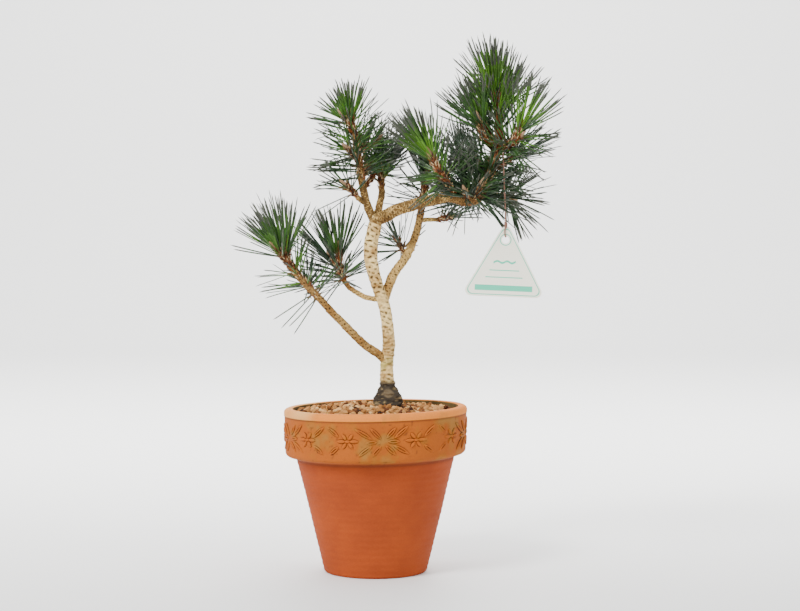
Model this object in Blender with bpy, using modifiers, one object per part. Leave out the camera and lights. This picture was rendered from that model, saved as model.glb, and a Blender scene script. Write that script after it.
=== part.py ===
# A young black pine in a terracotta pot, 0.59 m tall, in metres with +Z up.
# The origin is the middle of the pot's flat underside, and the front looks along -Y.
# Each piece is its own object: pot, substrate, trunk, boughs, masses of needles, hang tag and its tie.

import itertools
import math

import bmesh
import bpy
import numpy as np

# Driving dimensions
RIM_DIAMETER = 0.200
POT_HEIGHT = 0.9 * RIM_DIAMETER
FOOT_DIAMETER = 0.56 * RIM_DIAMETER
BAND_HEIGHT = 0.052
RIM_SLOPE = 0.019  # the hand-finished rim stands a little higher on its right side
WALL = 0.0085
FLOOR = 0.0095
LIP_WIDTH = 0.0095
DRAIN_DIAMETER = 0.010
SOIL_TOP = POT_HEIGHT + 0.0005  # at the trunk; the surface falls away towards the wall
SOIL_FALL = 0.0065
TRUNK_DIAMETER = 0.0135
TAG_SIDE = 0.091
TAG_THICKNESS = 0.001
TIE_DIAMETER = 0.0018
GAP = 0.0003  # air left between pieces that touch

LIP_RADIUS = 0.0065
UNDER_BAND_RADIUS = 0.005
FOOT_RADIUS = 0.0035
DRAIN_CIRCLE = 0.026  # radius of the ring that the three drain holes lie on

POT_SEGMENTS = 44
LIMB_STEPS = 13
MASS_SEGMENTS = 14
MASS_RINGS = 9

# Limbs: the points that each one passes through, then its diameter at the foot and at the tip.
# A bough's last point lies a little inside the mass of needles that it enters.
LIMBS = {
    "trunk": (
        [(0.0128, 0, SOIL_TOP + GAP), (0.0123, 0, 0.225), (0.0146, -0.002, 0.248), (0.0100, -0.005, 0.289),
         (-0.0037, -0.008, 0.333), (-0.0040, -0.007, 0.362), (0.0023, -0.005, 0.387)],
        1.08 * TRUNK_DIAMETER, TRUNK_DIAMETER),
    "bough_right": (
        [(0.0020, -0.005, 0.3840), (0.0115, -0.007, 0.3885), (0.0256, -0.010, 0.3953), (0.0465, -0.013, 0.4010),
         (0.0671, -0.016, 0.4064), (0.0840, -0.017, 0.4078)],
        0.0145, 0.0128),
    "leader_left": (
        [(0.0006, -0.006, 0.3800), (-0.0088, -0.006, 0.3994), (-0.0148, -0.008, 0.4240)],
        0.0090, 0.0070),
    "leader_twig": (
        [(-0.0085, -0.006, 0.4000), (-0.0155, -0.010, 0.4050), (-0.0235, -0.018, 0.4120)],
        0.0052, 0.0045),
    "bough_inner": (
        [(0.0003, -0.005, 0.3880), (0.0055, 0.002, 0.4030), (0.0066, 0.008, 0.4110)],
        0.0078, 0.0068),
    "bough_rear": (
        [(0.0087, -0.004, 0.2950), (0.0150, 0.003, 0.3120), (0.0212, 0.010, 0.3268), (0.0337, 0.019, 0.3436),
         (0.0433, 0.026, 0.3658), (0.0485, 0.031, 0.3855), (0.0530, 0.036, 0.4100)],
        0.0105, 0.0066),
    "bough_rear_twig": (
        [(0.0480, 0.030, 0.3825), (0.0580, 0.038, 0.3842), (0.0700, 0.047, 0.3848)],
        0.0048, 0.0042),
    "bough_low_left": (
        [(0.0110, -0.001, 0.2300), (0.0038, -0.004, 0.2370), (-0.0132, -0.010, 0.2492),
         (-0.0456, -0.021, 0.2825), (-0.0600, -0.025, 0.2985)],
        0.0090, 0.0071),
    "bough_mid_left": (
        [(0.0071, -0.004, 0.2985), (-0.0093, 0.002, 0.2990), (-0.0202, 0.008, 0.3041),
         (-0.0310, 0.014, 0.3125), (-0.0372, 0.018, 0.3200)],
        0.0052, 0.0048),
}

# The limbs that each limb is fitted round where they join
JOINS = {
    "bough_right": ["trunk"],
    "leader_left": ["trunk", "bough_right"],
    "leader_twig": ["leader_left", "trunk"],
    "bough_inner": ["trunk", "bough_right", "leader_left"],
    "bough_rear": ["trunk"],
    "bough_rear_twig": ["bough_rear"],
    "bough_low_left": ["trunk"],
    "bough_mid_left": ["trunk"],
}

# Masses of needles: root end, tip end, widest radius, how far the width leans to the tip (+) or to
# the root (-), depth over width
MASSES = {
    "needles_low_left_tip": ((-0.096, -0.033, 0.343), (-0.104, -0.033, 0.416), 0.038, 0.45, 0.95),
    "needles_low_left_older": ((-0.054, -0.023, 0.286), (-0.106, -0.033, 0.352), 0.030, 0.10, 1.00),
    "needles_mid_left": ((-0.037, 0.018, 0.313), (-0.043, 0.025, 0.398), 0.033, 0.40, 1.00),
    "needles_leader_top": ((-0.025, -0.012, 0.474), (-0.029, -0.013, 0.539), 0.027, 0.30, 1.00),
    "needles_leader": ((-0.014, -0.006, 0.414), (-0.027, -0.010, 0.487), 0.040, 0.10, 1.00),
    "needles_leader_rear": ((0.000, 0.030, 0.428), (0.018, 0.046, 0.496), 0.031, 0.20, 1.00),
    "needles_leader_twig": ((-0.020, -0.018, 0.407), (-0.048, -0.034, 0.396), 0.017, 0.10, 1.00),
    "needles_inner": ((0.005, 0.007, 0.402), (0.010, 0.016, 0.462), 0.024, 0.30, 1.00),
    "needles_spur": ((0.070, -0.027, 0.420), (0.048, -0.040, 0.502), 0.031, 0.30, 0.95),
    "needles_rear_top": ((0.053, 0.034, 0.402), (0.058, 0.046, 0.462), 0.028, 0.20, 1.00),
    "needles_rear_inner": ((0.030, 0.040, 0.352), (0.012, 0.062, 0.398), 0.022, 0.15, 1.00),
    "needles_rear_twig": ((0.064, 0.043, 0.386), (0.098, 0.066, 0.366), 0.019, 0.15, 1.00),
    "needles_right_top": ((0.132, -0.008, 0.452), (0.121, -0.008, 0.586), 0.047, 0.05, 1.00),
    "needles_right_whorl": ((0.146, -0.026, 0.455), (0.190, -0.042, 0.513), 0.027, 0.25, 1.00),
    "needles_right_elbow": ((0.100, 0.010, 0.390), (0.133, 0.008, 0.470), 0.049, 0.05, 0.85),
    "needles_right_low": ((0.118, 0.026, 0.404), (0.190, 0.044, 0.382), 0.036, 0.10, 1.00),
    "needles_right_rear": ((0.090, 0.040, 0.410), (0.096, 0.080, 0.482), 0.038, 0.20, 1.00),
}

# Hang tag: a rounded triangle under its hole
TAG_HOLE = (0.1404, 0.3618)  # X and Z of the hole's middle
TAG_Y = -0.026
TAG_HOLE_DIAMETER = 0.0082
TAG_CORNER = 0.006
TAG_TILT = math.radians(2.5)  # it hangs a little askew
TIE_TOP = 0.4190

# Colours as linear RGB, then roughness
TERRACOTTA = ((0.52, 0.15, 0.035), 0.75)
FIRED_GRAIN = ((0.50, 0.29, 0.15), 0.95)
PALE_BARK = ((0.55, 0.40, 0.20), 0.85)
TAN_BARK = ((0.42, 0.24, 0.09), 0.85)
NEEDLE_GREEN = ((0.045, 0.13, 0.03), 0.55)
TAG_CREAM = ((0.93, 0.91, 0.80), 0.45)
TIE_BROWN = ((0.20, 0.09, 0.06), 0.6)


# Scene and collections


def clear_scene():
    for thing in list(bpy.data.objects):
        bpy.data.objects.remove(thing, do_unlink=True)


def collection_named(name):
    collection = bpy.data.collections.new(name)
    bpy.context.scene.collection.children.link(collection)
    return collection


def material_named(name, look):
    colour, roughness = look
    material = bpy.data.materials.new(name)
    material.use_nodes = True
    shader = material.node_tree.nodes["Principled BSDF"]
    shader.inputs["Base Color"].default_value = (*colour, 1)
    shader.inputs["Roughness"].default_value = roughness
    shader.inputs["Metallic"].default_value = 0
    material.diffuse_color = (*colour, 1)
    return material


def part_object(name, data, look):
    """A named piece of the plant with its own material."""
    piece = bpy.data.objects.new(name, data)
    plant.objects.link(piece)
    data.materials.append(material_named(name, look))
    return piece


def cutter_object(name, data):
    cutter = bpy.data.objects.new(name, data)
    cutters.objects.link(cutter)
    cutter.hide_render = True
    cutter.display_type = "WIRE"
    return cutter


def cut_with(piece, cutter, operation="DIFFERENCE"):
    boolean = piece.modifiers.new(cutter.name, "BOOLEAN")
    boolean.operation = operation
    boolean.object = cutter


def mesh_from_bmesh(name, bm):
    mesh = bpy.data.meshes.new(name)
    bm.to_mesh(mesh)
    bm.free()
    return mesh


def shade_round(mesh, angle=40):
    mesh.shade_smooth()
    mesh.set_sharp_from_angle(angle=math.radians(angle))


# Pot and substrate


def arc(centre, radius, start, end, steps):
    """Points (r, z) on an arc from start to end degrees, counted from +r towards +z."""
    angles = np.radians(np.linspace(start, end, steps))
    return [(centre[0] + radius * math.cos(a), centre[1] + radius * math.sin(a)) for a in angles]


def body_radius(z):
    """Outer radius of the tapering body, straight from the foot to under the band."""
    foot = FOOT_DIAMETER / 2
    under_band = 0.872 * RIM_DIAMETER / 2
    return foot + (under_band - foot) * z / (POT_HEIGHT - BAND_HEIGHT)


def inner_radius(z):
    """Inner radius of the wall, straight from the floor to just under the lip."""
    bottom = body_radius(FLOOR) - WALL
    top = RIM_DIAMETER / 2 - LIP_WIDTH
    return bottom + (top - bottom) * (z - FLOOR) / (POT_HEIGHT - 0.003 - FLOOR)


def pot_profile():
    """The wall's section, from the middle of the inner floor over the rim to the middle of the foot."""
    rim = RIM_DIAMETER / 2
    band_low = POT_HEIGHT - BAND_HEIGHT
    inside = [(0, FLOOR), (inner_radius(FLOOR) - 0.006, FLOOR)]
    inside += [(inner_radius(z), z) for z in (FLOOR + 0.006, 0.060, 0.120, POT_HEIGHT - 0.003)]
    inside += [(rim - LIP_WIDTH + 0.0015, POT_HEIGHT)]
    outside = arc((rim - LIP_RADIUS, POT_HEIGHT - LIP_RADIUS), LIP_RADIUS, 90, 0, 5)
    outside += [(rim - 0.0006, POT_HEIGHT - LIP_RADIUS - 0.0015), (rim - 0.0016, band_low + 0.007)]
    outside += arc((rim - 0.0016 - UNDER_BAND_RADIUS, band_low + 0.005), UNDER_BAND_RADIUS, -10, -80, 3)
    outside += [(body_radius(band_low), band_low - 0.0025), (body_radius(0.060), 0.060)]
    outside += arc((body_radius(FOOT_RADIUS) - FOOT_RADIUS, FOOT_RADIUS), FOOT_RADIUS, -10, -90, 3)
    return inside + outside + [(0, 0)]


def out_of_level(co):
    """Lifts the rim by its slope, fading to nothing at the middle of the body."""
    share = min(1, max(0, (co.z - 0.070) / 0.060))
    return RIM_SLOPE * co.x * share


def make_pot():
    profile = bpy.data.meshes.new("pot_profile")
    points = [(r, 0, z) for r, z in pot_profile()]
    profile.from_pydata(points, [(i, i + 1) for i in range(len(points) - 1)], [])
    turning = cutter_object("pot_turning", profile)
    screw = turning.modifiers.new("turn", "SCREW")
    screw.steps = screw.render_steps = POT_SEGMENTS
    screw.use_merge_vertices = True
    screw.merge_threshold = 0.00005
    bpy.context.view_layer.update()
    turned = turning.evaluated_get(bpy.context.evaluated_depsgraph_get())
    mesh = bpy.data.meshes.new_from_object(turned)
    bpy.data.objects.remove(turning)
    for vertex in mesh.vertices:
        vertex.co.z += out_of_level(vertex.co)
    shade_round(mesh)
    pot = part_object("pot", mesh, TERRACOTTA)
    for turn in range(3):
        bm = bmesh.new()
        bmesh.ops.create_cone(bm, cap_ends=True, segments=12, radius1=DRAIN_DIAMETER / 2,
                              radius2=DRAIN_DIAMETER / 2, depth=4 * WALL)
        drill = cutter_object(f"drain_{turn + 1}", mesh_from_bmesh("drain", bm))
        angle = math.radians(90 + 120 * turn)
        drill.location = (DRAIN_CIRCLE * math.cos(angle), DRAIN_CIRCLE * math.sin(angle), 0.5 * WALL)
        cut_with(pot, drill)


def make_substrate():
    """The filling of the pot, flat round the trunk and falling gently towards the wall."""
    floor = FLOOR + GAP
    edge = SOIL_TOP - SOIL_FALL
    off_wall = 4 * GAP  # the sloping rim brings the wall in a little on one side
    rings = [(0, SOIL_TOP), (0.030, SOIL_TOP), (0.060, SOIL_TOP - 0.35 * SOIL_FALL)]
    rings += [(inner_radius(z) - off_wall, z) for z in (edge, 0.120, 0.060, floor + 0.007)]
    rings += [(inner_radius(floor) - 0.008, floor), (0, floor)]
    bm = bmesh.new()
    outline = [bm.verts.new((r, 0, z)) for r, z in rings]
    edges = [bm.edges.new(pair) for pair in itertools.pairwise(outline)]
    bmesh.ops.spin(bm, geom=outline + edges, cent=(0, 0, 0), axis=(0, 0, 1), angle=2 * math.pi,
                   steps=POT_SEGMENTS, use_merge=True)
    bmesh.ops.remove_doubles(bm, verts=bm.verts, dist=0.00002)
    bmesh.ops.recalc_face_normals(bm, faces=bm.faces)
    mesh = mesh_from_bmesh("substrate", bm)
    shade_round(mesh)
    part_object("substrate", mesh, FIRED_GRAIN)


# Limbs


def smooth_route(points, count):
    """count points along a Catmull-Rom curve through the given ones, evenly spaced by length."""
    knots = np.array(points, float)
    ends = np.vstack([2 * knots[0] - knots[1], knots, 2 * knots[-1] - knots[-2]])
    fine = []
    for a, b, c, d in zip(ends, ends[1:], ends[2:], ends[3:]):
        t = np.linspace(0, 1, 16, endpoint=False)[:, None]
        bend = (2 * a - 5 * b + 4 * c - d) * t**2 + (3 * b - a - 3 * c + d) * t**3
        fine.append(0.5 * (2 * b + (c - a) * t + bend))
    fine = np.vstack([*fine, knots[-1:]])
    length = np.concatenate([[0], np.cumsum(np.linalg.norm(np.diff(fine, axis=0), axis=1))])
    wanted = np.linspace(0, length[-1], count)
    return np.stack([np.interp(wanted, length, fine[:, axis]) for axis in range(3)], axis=1)


def limb_radii(name, route):
    """Even taper from foot to tip; the trunk also flares to its roots and swells under the fork."""
    _, foot, tip = LIMBS[name]
    share = np.linspace(0, 1, len(route))
    radii = (foot + (tip - foot) * share) / 2
    if name == "trunk":
        height = route[:, 2] - route[0, 2]
        radii += 0.0075 * np.exp(-(height / 0.017) ** 2)
        swell = np.exp(-((height - 0.175) / 0.030) ** 2)
        waist = np.exp(-((height - 0.110) / 0.050) ** 2)
        radii += 0.0008 * (swell - waist)
    return radii


def limb_mesh(name, thicker=0.0):
    """A tube of round section along the limb's route, as a mesh with its caps welded."""
    points = LIMBS[name][0]
    steps = LIMB_STEPS if len(points) > 4 else LIMB_STEPS // 2
    route = smooth_route(points, 2 * steps if name == "trunk" else steps)
    curve = bpy.data.curves.new(name, "CURVE")
    curve.dimensions = "3D"
    curve.bevel_depth = 1
    curve.bevel_resolution = 2
    curve.use_fill_caps = True
    spline = curve.splines.new("POLY")
    spline.points.add(len(route) - 1)
    for point, place, radius in zip(spline.points, route, limb_radii(name, route)):
        point.co = (*place, 1)
        point.radius = radius + thicker
    guide = bpy.data.objects.new(name, curve)
    cutters.objects.link(guide)
    bpy.context.view_layer.update()
    mesh = bpy.data.meshes.new_from_object(guide.evaluated_get(bpy.context.evaluated_depsgraph_get()))
    bpy.data.objects.remove(guide)
    bm = bmesh.new()
    bm.from_mesh(mesh)
    bmesh.ops.remove_doubles(bm, verts=bm.verts, dist=0.00001)
    bmesh.ops.recalc_face_normals(bm, faces=bm.faces)
    bm.to_mesh(mesh)
    bm.free()
    return mesh


def make_limbs():
    for name in LIMBS:
        mesh = limb_mesh(name)
        shade_round(mesh)
        limb = part_object(name, mesh, PALE_BARK if name == "trunk" else TAN_BARK)
        cutter_object(f"round_{name}", limb_mesh(name, GAP))
        for other in JOINS.get(name, []):
            cut_with(limb, bpy.data.objects[f"round_{other}"])


def make_root_lump():
    """The swollen root on the right of the flare, joined to the trunk and cut off flat at the soil."""
    bm = bmesh.new()
    bmesh.ops.create_uvsphere(bm, u_segments=12, v_segments=8, radius=1)
    lump = cutter_object("root_lump", mesh_from_bmesh("root_lump", bm))
    lump.scale = (0.0085, 0.0090, 0.0115)
    lump.location = (0.0215, -0.003, SOIL_TOP + 0.0085)
    bm = bmesh.new()
    bmesh.ops.create_cube(bm, size=0.08)
    ground = cutter_object("ground_cut", mesh_from_bmesh("ground_cut", bm))
    ground.location = (0.0128, 0, SOIL_TOP + GAP - 0.04)
    cut_with(lump, ground)
    cut_with(bpy.data.objects["trunk"], lump, "UNION")


# Masses of needles


def mass_points(name, sphere):
    """Carries a unit sphere's points along the mass's axis, wider to one end and uneven all round."""
    root, tip, radius, lean, depth = MASSES[name]
    root, tip = np.array(root), np.array(tip)
    axis = (tip - root) / np.linalg.norm(tip - root)
    side = np.cross(axis, (0, 1, 0))
    side /= np.linalg.norm(side)
    back = np.cross(axis, side)
    along = (1 + sphere[:, 2]) / 2
    turn = np.arctan2(sphere[:, 1], sphere[:, 0])
    start = 2.4 * list(MASSES).index(name)
    uneven = 1 + 0.09 * np.sin(2 * turn + 5 * along + start) + 0.07 * np.sin(3 * turn - 7 * along + 2 * start)
    uneven += 0.05 * np.sin(5 * turn + 11 * along + 3 * start)
    width = radius * (1 + lean * sphere[:, 2]) * uneven
    points = root + np.outer(along, tip - root)
    points += np.outer(sphere[:, 0] * width, side) + np.outer(sphere[:, 1] * width * depth, back)
    return points


def part_masses(shapes):
    """Where two masses would meet, pulls both back to a plane between their middles, with a gap."""
    middles = {name: points.mean(axis=0) for name, points in shapes.items()}
    for one, two in itertools.combinations(shapes, 2):
        line = middles[two] - middles[one]
        apart = np.linalg.norm(line)
        line /= apart
        reach = [(shapes[one] - middles[one]) @ line, (middles[two] - shapes[two]) @ line]
        longest = [r.max() for r in reach]
        if sum(longest) < apart - GAP:
            continue
        for name, out, most in zip((one, two), reach, longest):
            limit = apart * most / sum(longest) - GAP
            pull = np.minimum(1, limit / np.maximum(out, 1e-9))
            pull[out <= 0] = 1
            shapes[name] = middles[name] + (shapes[name] - middles[name]) * pull[:, None]


def near(points, name):
    """True where a limb's box, grown a little, overlaps the box of these points."""
    places = smooth_route(LIMBS[name][0], LIMB_STEPS)
    reach = LIMBS[name][1]
    return bool(((places.min(axis=0) - reach < points.max(axis=0))
                 & (places.max(axis=0) + reach > points.min(axis=0))).all())


def make_tie_clearance():
    """A straight cutter that keeps the needles off the hanging tie."""
    height = 0.080
    bm = bmesh.new()
    bmesh.ops.create_cone(bm, cap_ends=True, segments=8, radius1=1.6 * TIE_DIAMETER,
                          radius2=1.6 * TIE_DIAMETER, depth=height)
    clearance = cutter_object("round_tie", mesh_from_bmesh("round_tie", bm))
    clearance.location = (TAG_HOLE[0] - 0.0006, TAG_Y - 0.0014, TIE_TOP + GAP - height / 2)
    return clearance


def make_masses():
    tie_clearance = make_tie_clearance()
    bm = bmesh.new()
    bmesh.ops.create_uvsphere(bm, u_segments=MASS_SEGMENTS, v_segments=MASS_RINGS, radius=1)
    ball = mesh_from_bmesh("ball", bm)
    sphere = np.array([vertex.co for vertex in ball.vertices])
    shapes = {name: mass_points(name, sphere) for name in MASSES}
    part_masses(shapes)
    for name, points in shapes.items():
        mesh = ball.copy()
        mesh.name = name
        mesh.vertices.foreach_set("co", points.astype(np.float32).ravel())
        mesh.update()
        shade_round(mesh, 180)
        mass = part_object(name, mesh, NEEDLE_GREEN)
        for limb in LIMBS:
            if near(points, limb):
                cut_with(mass, bpy.data.objects[f"round_{limb}"])
        beside_tie = np.abs(points.mean(axis=0) - tie_clearance.location).max() < TAG_SIDE
        if beside_tie:
            cut_with(mass, tie_clearance)
    bpy.data.meshes.remove(ball)


# Hang tag


def tag_outline():
    """A triangle with an apex above the hole, its three corners rounded off by arcs."""
    high = TAG_HOLE[1] + 0.0205
    low = high - 0.90 * TAG_SIDE
    left, right = TAG_HOLE[0] - TAG_SIDE / 2, TAG_HOLE[0] + TAG_SIDE / 2
    corners = [(TAG_HOLE[0], high, 90), (left, low, 210), (right, low, 330)]
    middle = (TAG_HOLE[0], (high + 2 * low) / 3)
    outline = []
    for x, z, facing in corners:
        inset = 2 * TAG_CORNER / math.dist((x, z), middle)
        centre = (x + (middle[0] - x) * inset, z + (middle[1] - z) * inset)
        outline += arc(centre, TAG_CORNER, facing - 60, facing + 60, 6)
    cos, sin = math.cos(TAG_TILT), math.sin(TAG_TILT)
    offsets = [(x - TAG_HOLE[0], z - TAG_HOLE[1]) for x, z in outline]
    return [(TAG_HOLE[0] + dx * cos + dz * sin, TAG_HOLE[1] + dz * cos - dx * sin)
            for dx, dz in offsets]


def make_tag():
    bm = bmesh.new()
    face = bm.faces.new([bm.verts.new((x, TAG_Y - TAG_THICKNESS / 2, z)) for x, z in tag_outline()])
    grown = bmesh.ops.extrude_face_region(bm, geom=[face])
    moved = [item for item in grown["geom"] if isinstance(item, bmesh.types.BMVert)]
    bmesh.ops.translate(bm, verts=moved, vec=(0, TAG_THICKNESS, 0))
    bmesh.ops.recalc_face_normals(bm, faces=bm.faces)
    tag = part_object("tag", mesh_from_bmesh("tag", bm), TAG_CREAM)
    bm = bmesh.new()
    bmesh.ops.create_cone(bm, cap_ends=True, segments=20, radius1=TAG_HOLE_DIAMETER / 2,
                          radius2=TAG_HOLE_DIAMETER / 2, depth=10 * TAG_THICKNESS)
    punch = cutter_object("tag_punch", mesh_from_bmesh("tag_punch", bm))
    punch.location = (TAG_HOLE[0], TAG_Y, TAG_HOLE[1])
    punch.rotation_euler = (math.pi / 2, 0, 0)
    cut_with(tag, punch)


def make_tie():
    """A thin tie that hangs down in front of the tag, goes back through its hole and up behind it."""
    front = TAG_Y - TAG_THICKNESS / 2 - TIE_DIAMETER / 2 - GAP
    back = TAG_Y + TAG_THICKNESS / 2 + TIE_DIAMETER / 2 + GAP
    x, hole = TAG_HOLE
    turn = hole + TAG_HOLE_DIAMETER / 2 - TIE_DIAMETER / 2 - 0.0006
    route = [(x - 0.0012, front, TIE_TOP), (x - 0.0006, front, 0.398), (x, front, turn + 0.003)]
    route += [(x, front, turn + 0.001), (x, TAG_Y, turn), (x, back, turn + 0.001), (x, back, hole + 0.014)]
    curve = bpy.data.curves.new("tag_tie", "CURVE")
    curve.dimensions = "3D"
    curve.bevel_depth = TIE_DIAMETER / 2
    curve.bevel_resolution = 1
    curve.use_fill_caps = True
    spline = curve.splines.new("POLY")
    spline.points.add(len(route) - 1)
    for point, place in zip(spline.points, route):
        point.co = (*place, 1)
    part_object("tag_tie", curve, TIE_BROWN)


clear_scene()
plant = collection_named("potted_black_pine")
cutters = collection_named("cutters")
make_pot()
make_substrate()
make_limbs()
make_root_lump()
make_masses()
make_tag()
make_tie()
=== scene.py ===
import itertools
import math

import bmesh
import bpy
import numpy as np
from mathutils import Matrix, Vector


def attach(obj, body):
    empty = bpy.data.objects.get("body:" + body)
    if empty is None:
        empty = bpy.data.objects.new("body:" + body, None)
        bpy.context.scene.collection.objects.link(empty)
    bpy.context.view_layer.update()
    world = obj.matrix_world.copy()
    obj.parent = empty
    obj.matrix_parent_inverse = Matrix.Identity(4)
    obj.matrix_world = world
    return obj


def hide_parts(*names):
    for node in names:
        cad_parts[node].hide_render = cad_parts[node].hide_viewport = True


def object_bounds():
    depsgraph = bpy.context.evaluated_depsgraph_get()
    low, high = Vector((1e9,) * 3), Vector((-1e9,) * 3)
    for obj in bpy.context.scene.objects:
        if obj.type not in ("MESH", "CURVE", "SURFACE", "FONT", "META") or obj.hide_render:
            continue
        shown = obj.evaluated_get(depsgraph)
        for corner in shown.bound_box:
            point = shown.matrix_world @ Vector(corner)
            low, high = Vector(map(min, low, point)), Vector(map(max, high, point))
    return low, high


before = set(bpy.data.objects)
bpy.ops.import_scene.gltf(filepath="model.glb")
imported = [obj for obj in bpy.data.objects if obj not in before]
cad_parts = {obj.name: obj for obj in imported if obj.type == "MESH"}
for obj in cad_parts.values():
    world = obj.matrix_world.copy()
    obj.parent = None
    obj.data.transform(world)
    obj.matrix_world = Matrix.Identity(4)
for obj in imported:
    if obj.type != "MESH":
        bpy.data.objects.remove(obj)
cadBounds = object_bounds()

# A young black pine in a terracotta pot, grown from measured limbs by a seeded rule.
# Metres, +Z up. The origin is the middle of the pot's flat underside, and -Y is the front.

random = np.random.default_rng(31)


# Numbers and noise


def unit(vectors):
    # Each vector over its own length
    vectors = np.asarray(vectors, float)
    return vectors / np.maximum(np.linalg.norm(vectors, axis=-1, keepdims=True), 1e-12)


def noise(points, cell, seed):
    # Random numbers on a grid of that cell, blended between a place's 8 nearest corners by
    # 3t^2 - 2t^3, from -1 to 1
    lattice = np.random.default_rng(seed).random((32, 32, 32))
    scaled = np.asarray(points, float) / cell
    low = np.floor(scaled).astype(int)
    part = scaled - low
    part = part * part * (3 - 2 * part)
    total = 0
    for corner in itertools.product((0, 1), repeat=3):
        weight = np.prod(np.where(np.array(corner, bool), part, 1 - part), axis=-1)
        index = (low + corner) % 32
        total = total + weight * lattice[index[..., 0], index[..., 1], index[..., 2]]
    return 2 * total - 1


def ramp(values, low, high):
    # 0 below low, 1 above high and a smooth step between
    share = np.clip((values - low) / (high - low), 0, 1)
    return share * share * (3 - 2 * share)


def blend(one, two, share):
    # one where share is 0, two where it is 1, and in proportion between
    return np.asarray(one) + (np.asarray(two) - np.asarray(one)) * np.asarray(share)[..., None]


def smoothRoute(points, count):
    # Catmull-Rom curve through the points, then count places evenly spaced along its length
    knots = np.array(points, float)
    ends = np.vstack([2 * knots[0] - knots[1], knots, 2 * knots[-1] - knots[-2]])
    t = np.linspace(0, 1, 24, endpoint=False)[:, None]
    fine = []
    for a, b, c, d in zip(ends, ends[1:], ends[2:], ends[3:]):
        bend = (2 * a - 5 * b + 4 * c - d) * t**2 + (3 * b - a - 3 * c + d) * t**3
        fine.append(0.5 * (2 * b + (c - a) * t + bend))
    fine = np.vstack([*fine, knots[-1:]])
    length = np.concatenate([[0], np.cumsum(np.linalg.norm(np.diff(fine, axis=0), axis=1))])
    wanted = np.linspace(0, length[-1], count)
    places = [np.interp(wanted, length, fine[:, axis]) for axis in range(3)]
    return np.stack(places, axis=1), length[-1]


def crossAxes(directions):
    # Two unit vectors that make a right-handed set with each direction
    helper = np.where(np.abs(directions[..., 1:2]) > 0.9, [1.0, 0, 0], [0, 1.0, 0])
    side = unit(np.cross(directions, helper))
    return side, np.cross(directions, side)


def spokes(directions, columns):
    # Unit vectors outward from each direction, side * cos(turn) + back * sin(turn), and the turns
    side, back = crossAxes(directions)
    turn = 2 * np.pi * np.arange(columns) / columns
    cos, sin = np.cos(turn)[:, None], np.sin(turn)[:, None]
    return side[:, None] * cos + back[:, None] * sin, turn


def arc(centre, radius, start, end, steps):
    # Places on a circle from one angle to another, in degrees
    angles = np.radians(np.linspace(start, end, steps))
    return np.array(centre) + radius * np.stack([np.cos(angles), np.sin(angles)], axis=1)


def turnedRings(profile, columns):
    # A profile of radius and height carried round the z axis
    turn = 2 * np.pi * np.arange(columns) / columns
    radius, height = profile[:, :1], profile[:, 1:]
    return np.stack([radius * np.cos(turn), radius * np.sin(turn), height + 0 * turn], axis=-1)


# Meshes and materials


def closedTubes(rings, starts, ends):
    # Many tubes at once: quads between neighbouring rings, and at each end a fan of triangles
    # to a point of its own
    count, steps, around, _ = rings.shape
    size = steps * around + 2
    points = np.concatenate([rings.reshape(count, -1, 3), starts[:, None], ends[:, None]], axis=1)
    j = np.arange(around)
    after = (j + 1) % around
    row = np.arange(steps - 1)[:, None] * around
    quads = np.stack([row + j, row + after, row + around + after, row + around + j], axis=-1)
    last = (steps - 1) * around
    first = np.stack([np.full(around, size - 2), after, j], axis=-1)
    final = np.stack([np.full(around, size - 1), last + j, last + after], axis=-1)
    shift = (np.arange(count) * size)[:, None, None]
    quads = quads.reshape(1, -1, 4) + shift
    fans = np.concatenate([first, final])[None] + shift
    return points.reshape(-1, 3), quads.reshape(-1, 4), fans.reshape(-1, 3)


def makeMesh(name, points, quads, triangles, slots=None, smooth=True):
    # slots holds the material number of each quad, then of each triangle
    mesh = bpy.data.meshes.new(name)
    faces = len(quads) + len(triangles)
    corners = np.concatenate([np.ravel(quads), np.ravel(triangles)]).astype(np.int32)
    sizes = np.concatenate([np.full(len(quads), 4), np.full(len(triangles), 3)])
    starts = np.concatenate([[0], np.cumsum(sizes)[:-1]])
    mesh.vertices.add(len(points))
    mesh.vertices.foreach_set("co", np.asarray(points, np.float32).ravel())
    mesh.loops.add(len(corners))
    mesh.loops.foreach_set("vertex_index", corners)
    mesh.polygons.add(faces)
    mesh.polygons.foreach_set("loop_start", starts.astype(np.int32))
    mesh.polygons.foreach_set("use_smooth", np.full(faces, smooth))
    if slots is not None:
        mesh.polygons.foreach_set("material_index", np.asarray(slots, np.int32))
    mesh.update(calc_edges=True)
    return mesh


def facesDealt(dealt, quads, fans):
    # The material of each face, from the one dealt to each tube
    return np.concatenate([dealt.repeat(len(faces) // len(dealt)) for faces in (quads, fans)])


def fixNormals(mesh, near=0.0):
    # Faces turned outward, after points nearer to each other than that are merged
    bm = bmesh.new()
    bm.from_mesh(mesh)
    if near:
        bmesh.ops.remove_doubles(bm, verts=bm.verts, dist=near)
    bmesh.ops.recalc_face_normals(bm, faces=bm.faces)
    bm.to_mesh(mesh)
    bm.free()


def addObject(name, data):
    thing = bpy.data.objects.new(name, data)
    bpy.context.scene.collection.objects.link(thing)
    return thing


def evaluatedMesh(thing):
    # The mesh that the object shows with its modifiers, or its curve's bevel, applied
    bpy.context.view_layer.update()
    graph = bpy.context.evaluated_depsgraph_get()
    return bpy.data.meshes.new_from_object(thing.evaluated_get(graph))


def vertexPlaces(mesh):
    flat = np.zeros(len(mesh.vertices) * 3, np.float32)
    mesh.vertices.foreach_get("co", flat)
    return flat.reshape(-1, 3)


def addPiece(name, mesh, materials, nodes=()):
    piece = addObject(name, mesh)
    for material in materials:
        mesh.materials.append(material)
    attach(piece, "root")
    if nodes:
        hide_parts(*nodes)


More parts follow.
